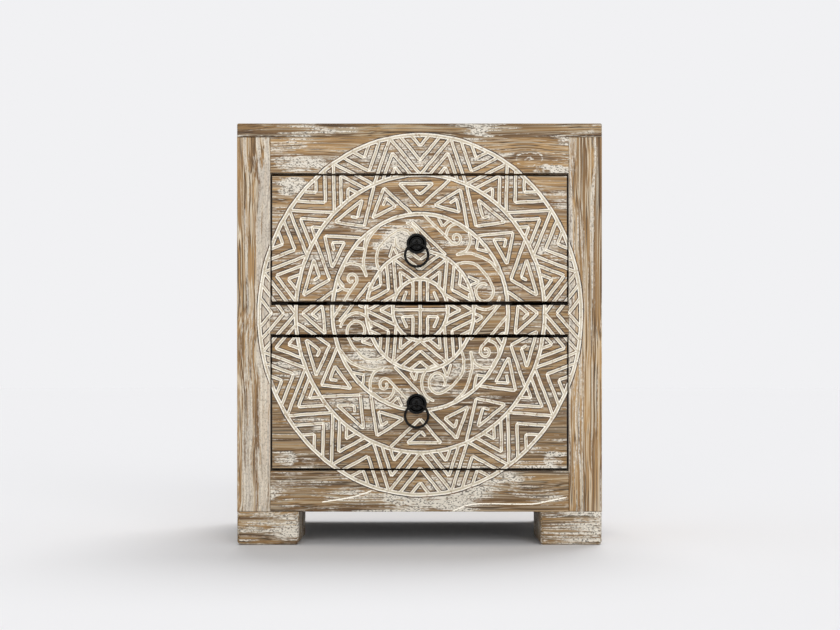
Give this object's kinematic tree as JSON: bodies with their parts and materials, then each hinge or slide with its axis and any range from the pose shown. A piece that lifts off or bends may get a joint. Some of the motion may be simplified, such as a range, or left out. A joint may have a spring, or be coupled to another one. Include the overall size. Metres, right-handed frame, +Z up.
{
  "type": "nightstand",
  "caption": "Bedside cabinet with stacked drawers, block feet, a carved round medallion across its limed wood front and black iron ring pulls.",
  "frame": {"origin": "on the floor, under the middle of the whole piece with its pulls", "axes": "+X to the right seen from the front, +Y from the front to the back, +Z up; drawers open to -Y"},
  "size_m": [0.45, 0.3644, 0.52],
  "materials": {
    "limed_wood": "wire-brushed and limed",
    "carved_limed_wood": "wire-brushed and limed, carved lines filled with white paint",
    "drawer_wood": "planed, bare",
    "stained_pine": "sawn, stained dark",
    "dowel_beech": "turned, bare",
    "black_iron": "blackened, satin",
    "zinc_plated_steel": "zinc plated"
  },
  "bodies": {
    "case": {"back_panel": "limed_wood", "bottom_rail": "carved_limed_wood", "case_floor": "stained_pine", "foot_screws": "zinc_plated_steel", "front_left_foot": "limed_wood", "front_right_foot": "limed_wood", "left_kicker": "stained_pine", "left_side_panel": "limed_wood", "left_stile": "carved_limed_wood", "lower_drawer_stops": "stained_pine", "lower_left_guide": "stained_pine", "lower_left_runner": "stained_pine", "lower_right_guide": "stained_pine", "lower_right_runner": "stained_pine", "middle_rail": "carved_limed_wood", "rear_left_foot": "limed_wood", "rear_right_foot": "limed_wood", "right_kicker": "stained_pine", "right_side_panel": "limed_wood", "right_stile": "carved_limed_wood", "top_dowels": "dowel_beech", "top_panel": "carved_limed_wood", "top_rail": "carved_limed_wood", "upper_drawer_stops": "stained_pine", "upper_left_guide": "stained_pine", "upper_left_runner": "stained_pine", "upper_right_guide": "stained_pine", "upper_right_runner": "stained_pine"},
    "upper_drawer": {"upper_drawer_front": "carved_limed_wood", "upper_drawer_left_side": "drawer_wood", "upper_drawer_right_side": "drawer_wood", "upper_drawer_back": "drawer_wood", "upper_drawer_floor": "drawer_wood", "upper_pull_rosette": "black_iron", "upper_pull_eye_bolt": "black_iron", "upper_pull_washer": "zinc_plated_steel", "upper_pull_nut": "zinc_plated_steel"},
    "lower_drawer": {"lower_drawer_front": "carved_limed_wood", "lower_drawer_left_side": "drawer_wood", "lower_drawer_right_side": "drawer_wood", "lower_drawer_back": "drawer_wood", "lower_drawer_floor": "drawer_wood", "lower_pull_rosette": "black_iron", "lower_pull_eye_bolt": "black_iron", "lower_pull_washer": "zinc_plated_steel", "lower_pull_nut": "zinc_plated_steel"},
    "upper_ring": {"upper_pull_ring": "black_iron"},
    "lower_ring": {"lower_pull_ring": "black_iron"}
  },
  "joints": [
    {"name": "upper_drawer_slide", "type": "slide", "parent": "case", "child": "upper_drawer", "axis": [0, -1, 0], "range_m": [0, 0.25]},
    {"name": "upper_ring_swing", "type": "hinge", "parent": "upper_drawer", "child": "upper_ring", "pos_m": [-0.0035, -0.1774, 0.371], "axis": [-1, 0, 0], "range_deg": [-12, 190]},
    {"name": "lower_drawer_slide", "type": "slide", "parent": "case", "child": "lower_drawer", "axis": [0, -1, 0], "range_m": [0, 0.25]},
    {"name": "lower_ring_swing", "type": "hinge", "parent": "lower_drawer", "child": "lower_ring", "pos_m": [-0.0035, -0.1774, 0.1735], "axis": [-1, 0, 0], "range_deg": [-12, 190]}
  ]
}
